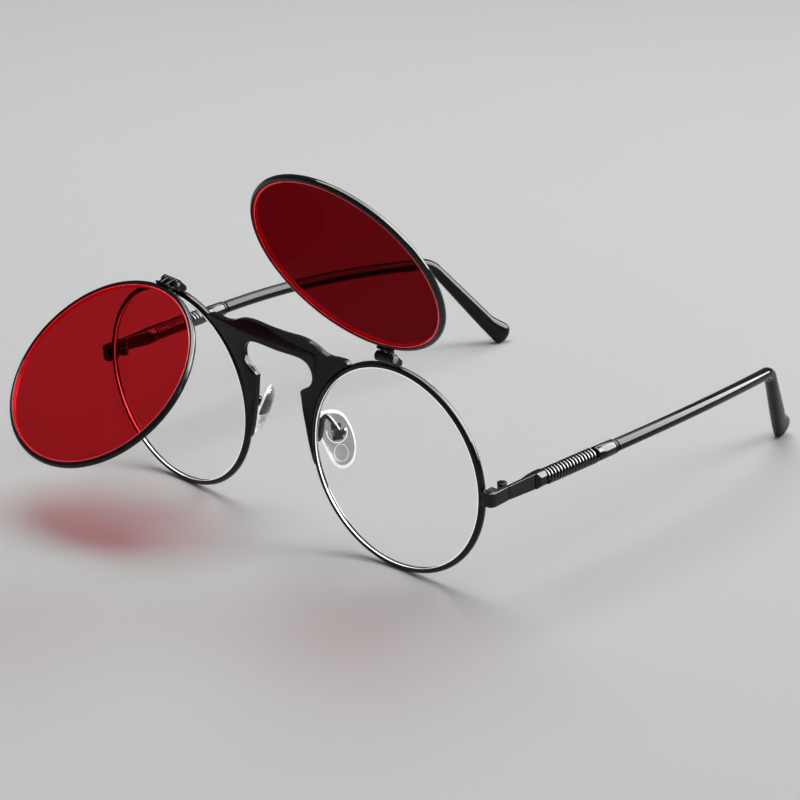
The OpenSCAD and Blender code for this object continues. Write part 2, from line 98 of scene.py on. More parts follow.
# ------------------------------------------------------------------ mesh helpers
def piece(name, verts, faces, mats, body, side="left", replaces=(), sharp=35, face_mats=None):
    """A mesh piece from points in the frame of the spectacles, in mm. side right mirrors it."""
    v = np.asarray(verts, float)
    if side == "right":
        v = v * [-1, 1, 1]
        faces = [tuple(reversed(f)) for f in faces]
    v = (v @ ROT.T + OFF) / 1000.0
    me = bpy.data.meshes.new(name)
    me.from_pydata(v.tolist(), [], [tuple(int(i) for i in f) for f in faces])
    me.validate()
    o = bpy.data.objects.new(name, me)
    bpy.context.scene.collection.objects.link(o)
    for m in mats if isinstance(mats, (list, tuple)) else [mats]:
        me.materials.append(m)
    if face_mats is not None:
        me.polygons.foreach_set("material_index", np.asarray(face_mats, np.int32))
    finish_mesh(me, sharp)
    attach(o, body)
    if replaces:
        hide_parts(*replaces)
    return o


def finish_mesh(me, sharp):
    bm = bmesh.new()
    bm.from_mesh(me)
    bmesh.ops.recalc_face_normals(bm, faces=bm.faces)
    bm.to_mesh(me)
    bm.free()
    me.polygons.foreach_set("use_smooth", [True] * len(me.polygons))
    me.set_sharp_from_angle(angle=math.radians(sharp))
    me.update()


def bevelled(verts, faces, width, seg=3, angle=30):
    """Rounds every edge sharper than angle by width, in mm. Returns points and faces."""
    bm = bmesh.new()
    vs = [bm.verts.new(p) for p in np.asarray(verts, float)]
    for f in faces:
        bm.faces.new([vs[i] for i in f])
    bmesh.ops.recalc_face_normals(bm, faces=bm.faces)
    bm.edges.ensure_lookup_table()
    hard = [e for e in bm.edges if len(e.link_faces) == 2 and e.calc_face_angle(0) > math.radians(angle)]
    if hard:
        bmesh.ops.bevel(bm, geom=hard, offset=width, offset_type="OFFSET", segments=seg, profile=0.5, affect="EDGES", clamp_overlap=True)
    bm.verts.index_update()
    out = np.array([v.co[:] for v in bm.verts]), [tuple(v.index for v in f.verts) for f in bm.faces]
    bm.free()
    return out


def ring(profile, n=288, span=None):
    """Closed profile of (radius, y) turned about Y. span = (first, last angle) leaves a slit with flat ends."""
    prof = np.asarray(profile, float)
    m = len(prof)
    if span is None:
        ang = np.linspace(0, 2 * math.pi, n, endpoint=False)
    else:
        ang = np.linspace(span[0], span[1], n)
    v = np.array([[r * math.cos(a), y, r * math.sin(a)] for a in ang for r, y in prof])
    f = []
    last = n if span is None else n - 1
    for i in range(last):
        j = (i + 1) % n
        for k in range(m):
            l = (k + 1) % m
            f.append((i * m + k, i * m + l, j * m + l, j * m + k))
    if span is not None:
        f.append(tuple(range(m)))
        f.append(tuple((n - 1) * m + k for k in reversed(range(m))))
    return v, f


def disc(profile, n=288):
    """Open profile of (radius, y) from the front pole to the back pole, turned about Y. Returns points, faces and the
    profile step of each face."""
    prof = np.asarray(profile, float)
    inner = [i for i in range(len(prof)) if prof[i][0] > 1e-9]
    v = [[0, prof[0][1], 0]]
    ang = np.linspace(0, 2 * math.pi, n, endpoint=False)
    for i in inner:
        v += [[prof[i][0] * math.cos(a), prof[i][1], prof[i][0] * math.sin(a)] for a in ang]
    v.append([0, prof[-1][1], 0])
    f, step = [], []
    for j in range(n):
        f.append((0, 1 + j, 1 + (j + 1) % n)); step.append(0)
    for k in range(len(inner) - 1):
        a, b = 1 + k * n, 1 + (k + 1) * n
        for j in range(n):
            f.append((a + j, b + j, b + (j + 1) % n, a + (j + 1) % n)); step.append(k + 1)
    a = 1 + (len(inner) - 1) * n
    for j in range(n):
        f.append((a + j, len(v) - 1, a + (j + 1) % n)); step.append(len(inner))
    return np.array(v), f, step


def arc(cx, cy, r, a0, a1, n):
    return [(cx + r * math.cos(math.radians(a0 + (a1 - a0) * i / n)), cy + r * math.sin(math.radians(a0 + (a1 - a0) * i / n))) for i in range(n + 1)]


def sweep(path, xs, ys, sect, cap=True):
    """Rings of points sect(i) = [(x, y)...] along a path with its two cross axes."""
    v = []
    m = None
    for i, p in enumerate(path):
        s = sect(i)
        m = len(s)
        v += [np.asarray(p) + xs[i] * a + ys[i] * b for a, b in s]
    f = []
    n = len(path)
    for i in range(n - 1):
        for k in range(m):
            l = (k + 1) % m
            f.append((i * m + k, i * m + l, (i + 1) * m + l, (i + 1) * m + k))
    if cap:
        f.append(tuple(reversed(range(m))))
        f.append(tuple((n - 1) * m + k for k in range(m)))
    return np.array(v), f


def circle(r, n, r2=None):
    r2 = r if r2 is None else r2
    return [(r * math.cos(2 * math.pi * k / n), r2 * math.sin(2 * math.pi * k / n)) for k in range(n)]


def join(*parts):
    v, f, base = [], [], 0
    for pv, pf in parts:
        v.append(np.asarray(pv, float))
        f += [tuple(i + base for i in q) for q in pf]
        base += len(pv)
    return np.concatenate(v), f


def tube(p0, p1, profile, n=48, ref=(0.31, 0.2, 0.93)):
    """Solid of revolution about the line p0 to p1. profile is (distance along, radius) from end to end."""
    p0, p1 = np.asarray(p0, float), np.asarray(p1, float)
    d = unit(p1 - p0)
    x = unit(np.cross(d, ref))
    y = np.cross(d, x)
    path = [p0 + d * s for s, _ in profile]
    return sweep(path, [x] * len(path), [y] * len(path), lambda i: circle(profile[i][1], n))


# ------------------------------------------------------------------ materials
class Mat:
    """A node material with a Principled shader and short ways to add to it."""

    def __init__(self, name, base=(0.5, 0.5, 0.5), rough=0.4, metal=0.0, coat=0.0, coat_rough=0.03, ior=1.5, spec=None):
        self.m = bpy.data.materials.new(name)
        self.m.use_nodes = True
        self.t = self.m.node_tree
        self.b = self.t.nodes["Principled BSDF"]
        self.out = self.t.nodes["Material Output"]
        self.set("Base Color", (*base, 1))
        self.set("Roughness", rough)
        self.set("Metallic", metal)
        self.set("Coat Weight", coat)
        self.set("Coat Roughness", coat_rough)
        self.set("IOR", ior)
        if spec is not None:
            self.set("Specular IOR Level", spec)

    def set(self, socket, value):
        self.b.inputs[socket].default_value = value

    def n(self, kind, **props):
        node = self.t.nodes.new(kind)
        for k, v in props.items():
            if k in node.inputs:
                node.inputs[k].default_value = v
            else:
                setattr(node, k, v)
        return node

    def l(self, a, b):
        self.t.links.new(a, b)

    def coords(self, scale=(1, 1, 1)):
        c = self.n("ShaderNodeTexCoord")
        mp = self.n("ShaderNodeMapping")
        mp.inputs["Scale"].default_value = scale
        self.l(c.outputs["Object"], mp.inputs["Vector"])
        return mp.outputs["Vector"]

    def noise(self, vec, scale, detail=3.0, rough=0.5, distort=0.0):
        n = self.n("ShaderNodeTexNoise")
        n.inputs["Scale"].default_value = scale
        n.inputs["Detail"].default_value = detail
        n.inputs["Roughness"].default_value = rough
        n.inputs["Distortion"].default_value = distort
        self.l(vec, n.inputs["Vector"])
        return n.outputs["Fac"]

    def ramp(self, fac, stops):
        r = self.n("ShaderNodeValToRGB")
        e = r.color_ramp.elements
        while len(e) < len(stops):
            e.new(0.5)
        for i, (p, c) in enumerate(stops):
            e[i].position = p
            e[i].color = (*c, 1) if len(c) == 3 else c
        self.l(fac, r.inputs["Fac"])
        return r.outputs["Color"]

    def remap(self, fac, lo, hi, a=0.35, b=0.65):
        r = self.n("ShaderNodeMapRange")
        r.inputs["From Min"].default_value = a
        r.inputs["From Max"].default_value = b
        r.inputs["To Min"].default_value = lo
        r.inputs["To Max"].default_value = hi
        self.l(fac, r.inputs["Value"])
        return r.outputs["Result"]

    def bump(self, height, strength, distance):
        b = self.n("ShaderNodeBump")
        b.inputs["Strength"].default_value = strength
        b.inputs["Distance"].default_value = distance
        self.l(height, b.inputs["Height"])
        self.l(b.outputs["Normal"], self.b.inputs["Normal"])
        return b

    def let_light_through(self, tint):
        """Lamp light passes as through clear glass, tinted, so that the shadow is light and coloured."""
        path = self.n("ShaderNodeLightPath")
        clear = self.n("ShaderNodeBsdfTransparent")
        clear.inputs["Color"].default_value = (*tint, 1)
        mix = self.n("ShaderNodeMixShader")
        self.l(path.outputs["Is Shadow Ray"], mix.inputs["Fac"])
        self.l(self.b.outputs["BSDF"], mix.inputs[1])
        self.l(clear.outputs["BSDF"], mix.inputs[2])
        soft = self.n("ShaderNodeMixShader")
        self.l(path.outputs["Is Diffuse Ray"], soft.inputs["Fac"])
        self.l(mix.outputs["Shader"], soft.inputs[1])
        self.l(clear.outputs["BSDF"], soft.inputs[2])
        self.l(soft.outputs["Shader"], self.out.inputs["Surface"])


def lacquer(name, dark=0.006, rough=0.16, wear=0.35, coat_rough=0.025, coat=0.35, spec=0.1):
    """Gloss black lacquer over metal: nearly black, with faint dust, fine hairlines and softly worn edges."""
    m = Mat(name, rough=rough, coat=coat, coat_rough=coat_rough, ior=1.5, spec=spec)
    v = m.coords()
    big = m.noise(v, 90, 4)
    fine = m.noise(v, 2600, 2, 0.6)
    geo = m.n("ShaderNodeNewGeometry")
    edge = m.remap(geo.outputs["Pointiness"], 0, 1, 0.52, 0.60)
    dust = m.remap(fine, 0, 1, 0.60, 0.78)
    both = m.n("ShaderNodeMath", operation="MULTIPLY_ADD")
    m.l(edge, both.inputs[0]); both.inputs[1].default_value = wear; m.l(dust, both.inputs[2])
    lim = m.n("ShaderNodeMath", operation="MINIMUM")
    m.l(both.outputs[0], lim.inputs[0]); lim.inputs[1].default_value = 1
    col = m.ramp(lim.outputs[0], [(0, (dark, dark, dark * 1.08)), (1, (dark * 4.5, dark * 4.4, dark * 4.4))])
    m.l(col, m.b.inputs["Base Color"])
    m.l(m.remap(big, rough * 0.7, rough * 1.5), m.b.inputs["Roughness"])
    m.bump(m.noise(v, 900, 2), 0.06, 0.00004)
    return m.m


def plastic(name, dark=0.008):
    """Gloss black moulded plastic, slightly warmer than the lacquer, with a soft orange-peel skin."""
    m = Mat(name, rough=0.14, coat=0.2, coat_rough=0.05, ior=1.49, spec=0.05)
    v = m.coords()
    col = m.ramp(m.noise(v, 160, 4), [(0.3, (dark, dark, dark)), (0.75, (dark * 1.7, dark * 1.6, dark * 1.6))])
    m.l(col, m.b.inputs["Base Color"])
    m.l(m.remap(m.noise(v, 240, 3), 0.10, 0.20), m.b.inputs["Roughness"])
    m.bump(m.noise(v, 520, 3), 0.05, 0.00005)
    return m.m


def steel(name, tone=0.32, rough=0.28, stretch=(1, 1, 1)):
    """Turned or drawn steel: metallic with fine streaks."""
    m = Mat(name, rough=rough, metal=1.0, ior=1.5)
    v = m.coords(stretch)
    s = m.noise(v, 1800, 4, 0.7)
    col = m.ramp(s, [(0.3, (tone * 0.7, tone * 0.7, tone * 0.71)), (0.7, (tone * 1.15, tone * 1.15, tone * 1.16))])
    m.l(col, m.b.inputs["Base Color"])
    m.l(m.remap(s, rough * 0.7, rough * 1.4), m.b.inputs["Roughness"])
    m.bump(s, 0.15, 0.00002)
    return m.m


def glassy(name, tint, shadow, rough=0.0, ior=1.5, smudge=0.005, spec=0.5, scale=55):
    """Polished resin lens: clear volume with faint smears in the gloss."""
    m = Mat(name, base=tint, rough=rough, ior=ior, spec=spec)
    m.set("Transmission Weight", 1.0)
    v = m.coords()
    sm = m.noise(v, scale, 5, 0.62, 0.8)
    m.l(m.remap(sm, rough, rough + smudge, 0.48, 0.72), m.b.inputs["Roughness"])
    m.let_light_through(shadow)
    return m.m


def silicone(name, tone=1.0, clear=0.86, glow=0.0):
    """Clear soft silicone: slightly milky and frosted, with a few specks. A tone below 1 darkens the colour as painted
    shade; glow adds a painted glow, as the silicone is no lamp.
    """
    m = Mat(name, base=(0.93, 0.95, 0.97), rough=0.12, ior=1.41)
    m.set("Transmission Weight", clear)
    m.set("Emission Color", (0.97, 0.985, 1.0, 1))
    m.set("Emission Strength", glow)
    v = m.coords()
    cloud = m.noise(v, 420, 4, 0.6)
    m.l(m.ramp(cloud, [(0.3, (0.84 * tone, 0.87 * tone, 0.90 * tone)), (0.75, (0.97 * tone, 0.975 * tone, 0.98 * tone))]), m.b.inputs["Base Color"])
    m.l(m.remap(cloud, 0.06, 0.2), m.b.inputs["Roughness"])
    m.bump(m.noise(v, 700, 3), 0.12, 0.00006)
    m.let_light_through((0.85, 0.87, 0.9))
    return m.m


BLACK = lacquer("black_lacquer")
BLACK_SATIN = lacquer("black_satin_lacquer", dark=0.006, rough=0.2, wear=0.25, coat_rough=0.04, coat=0.3, spec=0.04)
BLACK_MATT = lacquer("black_matt_lacquer", dark=0.006, rough=0.42, wear=0.2, coat_rough=0.3, coat=0.1, spec=0.1)
BLACK_SPRING = lacquer("black_spring_lacquer", dark=0.007, rough=0.12, wear=0.15, coat_rough=0.03, coat=1.0)
PLASTIC = plastic("black_sleeve_plastic")
SCREW = steel("screw_steel", 0.30, 0.25)
WIRE = steel("core_wire_steel", 0.10, 0.3, (1, 0.05, 1))
ARM = lacquer("pad_arm_lacquer", dark=0.008, rough=0.14, wear=0.4, coat=1.0)
CORE = steel("pad_core_steel", 0.05, 0.18)
CLEAR = glassy("clear_resin", (0.985, 0.99, 0.99), (0.96, 0.97, 0.97), ior=1.2)


def clear_edge(name, glow):
    """Ground edge of a clear lens: pale and finely frosted, with a painted glow (emission) as a painted highlight along
    the edge.
    """
    m = Mat(name, base=(0.72, 0.72, 0.70), rough=0.35, ior=1.5)
    m.set("Transmission Weight", 0.5)
    m.set("Emission Color", (1.0, 0.97, 0.93, 1))
    m.set("Emission Strength", glow)
    v = m.coords()
    frost = m.noise(v, 240, 3)
    m.l(m.ramp(frost, [(0.3, (0.66, 0.66, 0.64)), (0.75, (0.78, 0.78, 0.76))]), m.b.inputs["Base Color"])
    m.l(m.remap(frost, 0.26, 0.44), m.b.inputs["Roughness"])
    m.let_light_through((0.7, 0.74, 0.76))
    return m.m


CLEAR_EDGE = clear_edge("clear_resin_edge", 0.6)
# The two red lenses are one resin. The left lens's darker tint and shadow colour are painted shade, the right lens's
# lighter tint painted light, standing in for how light falls on each.
RED = {"left": glassy("red_resin_left_painted_shade", (0.15, 0.0025, 0.005), (0.62, 0.10, 0.12), ior=1.045),
       "right": glassy("red_resin_right_painted_light", (0.45, 0.013, 0.018), (0.75, 0.12, 0.15), ior=1.08)}


# Edge of a red lens: frosted red resin with a painted red glow (emission) as a painted highlight along the edge.
def red_edge(name, glow):
    m = Mat(name, base=(0.85, 0.015, 0.03), rough=0.3, ior=1.5)
    m.set("Transmission Weight", 0.25)
    m.set("Emission Color", (1.0, 0.03, 0.05, 1))
    m.set("Emission Strength", glow)
    v = m.coords()
    m.l(m.remap(m.noise(v, 200, 3), 0.2, 0.4), m.b.inputs["Roughness"])
    m.let_light_through((0.8, 0.08, 0.1))
    return m.m


RED_EDGE = red_edge("red_resin_edge", 0.25)
# One silicone in two copies: the pad body is darkened (tone 0.62) as painted shade, the rolled rim and pocket lines are
# milky with a painted glow as a painted highlight.
SILICONE = silicone("clear_silicone", 0.62, 0.9)
SILICONE_GLOW_EDGE = silicone("clear_silicone_glowing_edge", 1.0, 0.12, 0.55)

# ------------------------------------------------------------------ rims, lenses, flips
def wire_profile(R, h, flat, groove, corner=0.16):
    """Eyewire section: round outside, flat inner wall with the lens groove."""
    r_in = R - flat
    pts = arc(R, 0, h, -90, 90, 22)
    pts += arc(r_in + corner, h - corner, corner, 90, 180, 4)
    pts += [(r_in, groove), (r_in + flat + 0.08, 0.0), (r_in, -groove)]
    pts += arc(r_in + corner, -h + corner, corner, 180, 270, 4)
    return pts


def lens_profile(e, h, bev, apex):
    return [(0, -h), (e - 0.34, -h), (e - 0.14, -h), (e - 0.04, -h + 0.04), (e, -h + 0.14), (e, -bev), (e + apex, 0), (e, bev), (e, h - 0.14), (e - 0.04, h - 0.04), (e - 0.14, h), (e - 0.34, h), (0, h)]


SLIT = 0.06 / (RIM_R)
for side in ("left", "right"):
    v, f = ring(wire_profile(RIM_R, RIM_H, 0.35, 0.45), 300, (math.asin(0.6 / RIM_R) + SLIT, math.asin(0.6 / RIM_R) - SLIT + 2 * math.pi))
    piece(side + "_rim_wire", rim_space(v), f, BLACK, "frame", side, [side + "_rim"], 40)
    e = RIM_R - 0.4
    v, f, st = disc(lens_profile(e, LENS_T / 2, 0.2, 0.40), 256)
    # the edge faces of the clear lens take the edge material with its painted glow
    piece(side + "_clear_resin_lens", rim_space(v), f, [CLEAR, CLEAR_EDGE], "frame", side, [side + "_clear_lens"], 25, [1 if s in (2, 3, 4) else 0 for s in st])
    a = RAISE[side]
    v, f = ring(wire_profile(FLIP_RR, FLIP_H, 0.30, 0.40, 0.14), 300)
    piece(side + "_flip_wire", flip_space(v, a), f, BLACK, side + "_flip", side, [side + "_flip_rim"], 40)
    e = FLIP_RR - 0.35
    v, f, st = disc(lens_profile(e, TINT_T / 2, 0.36, 0.36), 256)
    # the edge band of the red lens takes the edge material with its painted glow
    piece(side + "_red_resin_lens", flip_space(v, a), f, [RED[side], RED_EDGE], side + "_flip", side, [side + "_flip_lens"], 25, [0 if s in (0, 11) else 1 for s in st])

# ------------------------------------------------------------------ bridge plate
TOP = [[23.4, 21.6], [22.5, 23.0], [19.5, 23.0], [17.3, 22.75], [15.5, 23.05], [14.3, 23.4], [13, 24.0], [11.7, 24.45], [10.3, 24.72], [8.3, 24.9], [6.4, 24.88], [4.6, 24.75], [2.3, 24.62], [0, 24.6]]
EYE = [[0, 19.6], [2.5, 19.68], [5.2, 19.8], [7.6, 19.72], [9.3, 19.3], [10.4, 18.45], [11.1, 17.3], [11.35, 16], [11.1, 14.75], [10.4, 13.65], [9.5, 12.95], [8.5, 12.35], [7.7, 11.8], [7.25, 11.1], [7.45, 10], [7.6, 8.5], [7.8, 6.8], [8.1, 5], [8.5, 3.2], [9.0, 0.4], [9.65, -2.4], [10.5, -5.2], [11.3, -6.6]]


def bridge():
    top, eye = catmull(TOP, 8), catmull(EYE, 6)
    R = RIM_R + RIM_H - 0.12          # the plate runs a little into the round of each rim, as a brazed joint does

    def outside(p):
        return (p[0] - RIM_X) ** 2 + p[1] ** 2 >= R * R
    top = [p for p in top if outside(p)]
    eye = [p for p in eye if outside(p)]

    def on_rim(p):
        return math.atan2(p[1], p[0] - RIM_X)
    a0, a1 = on_rim(eye[-1]) % (2 * math.pi), on_rim(top[0]) % (2 * math.pi)
    rim = [(RIM_X + R * math.cos(a0 + (a1 - a0) * i / 60), R * math.sin(a0 + (a1 - a0) * i / 60)) for i in range(1, 60)]
    half = [tuple(p) for p in top] + [tuple(p) for p in eye] + rim     # from the top of the rim, round the middle, back up the rim
    # right half of the outline, then its mirror, as one closed loop
    k = len(top)
    right_top = half[:k]                       # ends at x = 0
    right_low = half[k:] # starts at x = 0
    loop = [(x, z) for x, z in right_top] + [(-x, z) for x, z in reversed(right_top[:-1])]
    loop += [(-x, z) for x, z in reversed(right_low)] + [(x, z) for x, z in right_low[1:]]
    n = len(loop)
    v = [(x, -1.75, z) for x, z in loop] + [(x, -0.25, z) for x, z in loop]
    f = [tuple(range(n)), tuple(range(2 * n - 1, n - 1, -1))] + [(i, i + n, (i + 1) % n + n, (i + 1) % n) for i in range(n)]
    v, f = bevelled(v, f, 0.22, 4, 40)
    return piece("bridge_flat", v, f, BLACK_SATIN, "frame", "left", ["bridge_plate"], 30)


bridge()

# ------------------------------------------------------------------ temples
T0 = np.array([64.07, 6, 0.53]); DIP, TIN = math.radians(2.42), math.radians(1.386)
TD0 = np.array([math.sin(TIN) * math.cos(DIP), math.cos(TIN) * math.cos(DIP), -math.sin(DIP)])
STRAIGHT, ARC_R, ARC_L, ARC_DIR = 36.04, 248.8, 68.9, math.radians(26.85)
TROT = rz(-TIN) @ rx(-DIP)


def temple_space(p):
    return np.asarray(p, float) @ TROT.T + T0


e0 = np.array([-math.cos(ARC_DIR), 0, -math.sin(ARC_DIR)])
TE = unit(e0 - (TD0 @ e0) * TD0)
P1 = T0 + TD0 * STRAIGHT
AA = ARC_L / ARC_R
TD1 = TD0 * math.cos(AA) + TE * math.sin(AA)
P2 = P1 + TE * ARC_R * (1 - math.cos(AA)) + TD0 * ARC_R * math.sin(AA)
BR, BA = 8.0, math.radians(42.6)
b0 = np.array([-0.1733, -0.2045, -0.9636])
TB = unit(b0 - (b0 @ TD1) * TD1)
TD2 = TD1 * math.cos(BA) + TB * math.sin(BA)
P3 = P2 + TB * BR * (1 - math.cos(BA)) + TD1 * BR * math.sin(BA)
TIP = 31.6
BL = BR * BA
TOTAL = ARC_L + BL + TIP
TN = unit(np.cross(TD1, TB))


def tpoint(s):
    if s < 0:
        return P1 + TD0 * s
    if s < ARC_L:
        a = s / ARC_R
        return P1 + TE * ARC_R * (1 - math.cos(a)) + TD0 * ARC_R * math.sin(a)
    if s < ARC_L + BL:
        a = (s - ARC_L) / BR
        return P2 + TB * BR * (1 - math.cos(a)) + TD1 * BR * math.sin(a)
    return P3 + TD2 * (s - ARC_L - BL)


def tdir(s):
    if s < 0:
        return TD0
    if s < ARC_L:
        a = s / ARC_R
        return TD0 * math.cos(a) + TE * math.sin(a)
    if s < ARC_L + BL:
        a = (s - ARC_L) / BR
        return TD1 * math.cos(a) + TB * math.sin(a)
    return TD2


def along(stops):
    path = [tpoint(s) for s in stops]
    xs = [unit(np.cross(TN, tdir(s))) for s in stops]
    ys = [np.cross(tdir(s), x) for s, x in zip(stops, xs)]
    return path, xs, ys


SLEEVE, PAD_W, PAD_T, FOOT = 1.56, 2.3, 1.6, 0.75


def grow(s):
    u = max(0.0, min(1.0, (s - ARC_L + 2) / (TOTAL - ARC_L - 2)))
    return u * u * (3 - 2 * u)


def sleeve_half(s):
    end = math.sqrt(max(0.0, 1 - ((s - TOTAL + 2.4) / 2.4) ** 2)) if s > TOTAL - 2.4 else 1.0
    start = 1.0
    if s < 0.6:
        start = (SLEEVE - 0.3 * (1 - math.sqrt(max(0, 1 - (1 - (s - 0.25) / 0.35) ** 2)))) / SLEEVE if s < 0.6 else 1
    return (SLEEVE + (PAD_W - SLEEVE) * grow(s) + FOOT * foot(s)) * end * start, (SLEEVE + (PAD_T - SLEEVE) * grow(s)) * end * start


def foot(s):
    u = max(0.0, min(1.0, (s - TOTAL + 9) / 7))
    return u * u * (3 - 2 * u)


def ear_sleeve(side):
    stops = [0.25 + 0.35 * (1 - math.cos(math.radians(a))) for a in range(0, 91, 15)]
    stops += list(np.linspace(1.2, ARC_L, 90)) + list(np.linspace(ARC_L + 0.25, ARC_L + BL, 26))
    stops += list(np.linspace(ARC_L + BL + 0.6, TOTAL - 2.4, 40)) + [TOTAL - 2.4 + 2.4 * math.sin(math.radians(a)) for a in range(6, 90, 6)] + [TOTAL - 0.004]
    path, xs, ys = along(stops)
    path = [p - x * FOOT * foot(s) for p, x, s in zip(path, xs, stops)]
    n = 40

    def sect(i):
        w, t = sleeve_half(stops[i])
        p = 2.0 + 0.5 * grow(stops[i])           # slightly squared oval towards the paddle
        return [(max(w, 0.03) * math.copysign(abs(math.cos(q)) ** (2 / p), math.cos(q)), max(t, 0.02) * math.copysign(abs(math.sin(q)) ** (2 / p), math.sin(q)))
                for q in (2 * math.pi * k / n for k in range(n))]
    v, f = sweep(path, xs, ys, sect)
    piece(side + "_sleeve_moulding", v, f, PLASTIC, side + "_temple", side, [side + "_ear_sleeve"], 40)


def coil(side):
    wire, outer, turns = 0.74, 4.0, 16
    r, w = (outer - wire) / 2, wire / 2
    y0, y1 = 11.42 + w, 28.88 - w
    pitch = (y1 - y0) / turns
    n = 28
    steps = turns * n
    c = pitch / (2 * math.pi * r)
    q = math.sqrt(1 + c * c)
    path, xs, ys = [], [], []
    for k in range(steps + 1):
        a = 2 * math.pi * k / n
        u = np.array([math.cos(a), 0, math.sin(a)])
        t = np.array([-math.sin(a) / q, c / q, math.cos(a) / q])
        path.append(u * r + [0, y0 + pitch * k / n, 0])
        xs.append(u)
        ys.append(np.cross(t, u))
    v, f = sweep(path, xs, ys, lambda i: circle(w, 14))
    piece(side + "_coil_winding", temple_space(v), f, BLACK_SPRING, side + "_temple", side, [side + "_coil_spring"], 50)


def core(side):
    stops = [9.5 - STRAIGHT, -20, -12, -6, 0] + list(np.linspace(4, ARC_L - 0.5, 16))
    path, xs, ys = along(stops)
    v, f = sweep(path, xs, ys, lambda i: circle(0.7, 24))
    piece(side + "_core_wire_drawn", v, f, WIRE, side + "_temple", side, [side + "_core_wire"], 40)


def rear_ferrule(side):
    # round collar with a thin end ring next to the sleeve
    prof = [(29.0, 0.75), (29.0, 1.52), (29.06, 1.62), (29.3, 1.80), (29.45, 1.85), (34.8, 1.85), (34.92, 1.83), (35.0, 1.75), (35.05, 1.62), (35.18, 1.56), (35.24, 1.62), (35.32, 1.74), (35.44, 1.80), (35.64, 1.80), (35.76, 1.73), (35.85, 1.60), (35.9, 1.45), (35.9, 0.75)]
    v, f = sweep([np.array([0, s, 0]) for s, _ in prof], [np.array([1.0, 0, 0])] * len(prof), [np.array([0, 0, -1.0])] * len(prof), lambda i: circle(prof[i][1], 56))
    piece(side + "_rear_ferrule_turned", temple_space(v), f, BLACK, side + "_temple", side, [side + "_rear_ferrule"], 30)


for side in ("left", "right"):
    ear_sleeve(side)
    coil(side)
    core(side)
    rear_ferrule(side)

# ------------------------------------------------------------------ nose pads
PC = np.array([12.66, 4.97, -1.81])
PL = unit([0.346, -0.184, -0.925])
n0 = np.array([0.776, -0.495, 0.389])
PN = unit(n0 - (n0 @ PL) * PL)
PW = np.cross(PN, PL)
PIV = np.array([0, -2.3, 2.1])
PAD_LEN, PAD_WID, PAD_THK = 13.3, 7.9, 2.6


def pad_space(p):
    p = np.asarray(p, float)
    return p[:, :1] * PW - p[:, 1:2] * PN - p[:, 2:3] * PL + PC


PAD_OUT = [[1.3, 6.8], [2.4, 5.7], [3.3, 3.7], [3.95, 1.2], [4.1, -1.6], [3.65, -3.8], [2.75, -5.5], [1.4, -6.45], [-0.1, -6.55], [-1.4, -5.75], [-2.2, -4.4], [-2.9, -2.6], [-3.55, -0.4], [-4.15, 1.7], [-4.4, 4.0], [-4.0, 6.0], [-2.7, 7.2], [-0.6, 7.4]]


def nose_pad(side):
    n = len(PAD_OUT) * 6
    # (share of the outline, height towards the nose): crown, rolled rim, flat back
    lay = [(0.0, 1.6), (0.16, 1.59), (0.32, 1.53), (0.48, 1.42), (0.62, 1.24), (0.74, 1.0), (0.84, 0.72), (0.91, 0.46), (0.955, 0.24), (0.985, 0.0), (0.998, -0.22), (1.0, -0.42), (0.992, -0.62), (0.97, -0.80), (0.935, -0.93), (0.885, -0.99), (0.83, -1.0), (0.74, -0.96), (0.66, -0.92), (0.4, -0.9), (0.0, -0.9)]
    ring_ = []
    for i in range(n):
        k, u = divmod(i / 6, 1)
        k = int(k)
        a, b, c, d = (np.array(PAD_OUT[(k + q) % len(PAD_OUT)]) for q in (-1, 0, 1, 2))
        ring_.append(0.5 * (2 * b + (c - a) * u + (2 * a - 5 * b + 4 * c - d) * u * u + (3 * b - a - 3 * c + d) * u ** 3))
    v = [(p[0] * q, y, p[1] * q) for q, y in lay[1:-1] for p in ring_]
    top, bot = len(v), len(v) + 1
    v += [(0, lay[0][1], 0), (0, lay[-1][1], 0)]
    f, fm_ = [], []
    m = len(lay) - 2
    for i in range(n):
        f.append((top, i, (i + 1) % n))
        f.append((bot, (m - 1) * n + (i + 1) % n, (m - 1) * n + i))
        fm_ += [0, 0]
    for k in range(m - 1):
        for i in range(n):
            f.append((k * n + i, (k + 1) * n + i, (k + 1) * n + (i + 1) % n, k * n + (i + 1) % n))
            # faces of the rolled rim take the glowing silicone: a painted highlight along the outline
            fm_.append(1 if 10 <= k <= 13 else 0)
    piece(side + "_silicone_pad", pad_space(v), f, [SILICONE, SILICONE_GLOW_EDGE], side + "_pad", side, [side + "_nose_pad"], 60, fm_)
    # edges of the pocket round the hard insert and of the round dimple below it, drawn as thin lines in the glowing
    # silicone: a painted highlight
    lines = []
    for cx, cz, rx, rz, a0, a1, w in ((0.0, 2.1, 2.45, 2.6, 165, 375, 0.12), (0.25, -2.9, 1.65, 2.0, 0, 360, 0.05)):
        t = np.radians(np.linspace(a0, a1, 56))
        path = [np.array([cx + rx * math.cos(q), -0.94, cz + rz * math.sin(q)]) for q in t]
        xs = [unit(np.array([rz * math.cos(q), 0, rx * math.sin(q)])) for q in t]
        lines.append(sweep(path, xs, [np.array([0.0, 1.0, 0.0])] * len(path), lambda i: circle(w, 10)))
    v, f = join(*lines)
    piece(side + "_pad_pocket_edges", pad_space(v), f, SILICONE_GLOW_EDGE, side + "_pad", side, [], 60)


ARM_PTS = [[10.9, -0.35, -0.5], [11.1, 0.75, 0.1], [11.1, 1.45, 2.3], [11.15, 1.9, 4.2], [11.75, 2.65, 5.05], [12.75, 2.95, 4.3], [13.9, 3.25, 2.95], [14.65, 3.35, 1.95]]


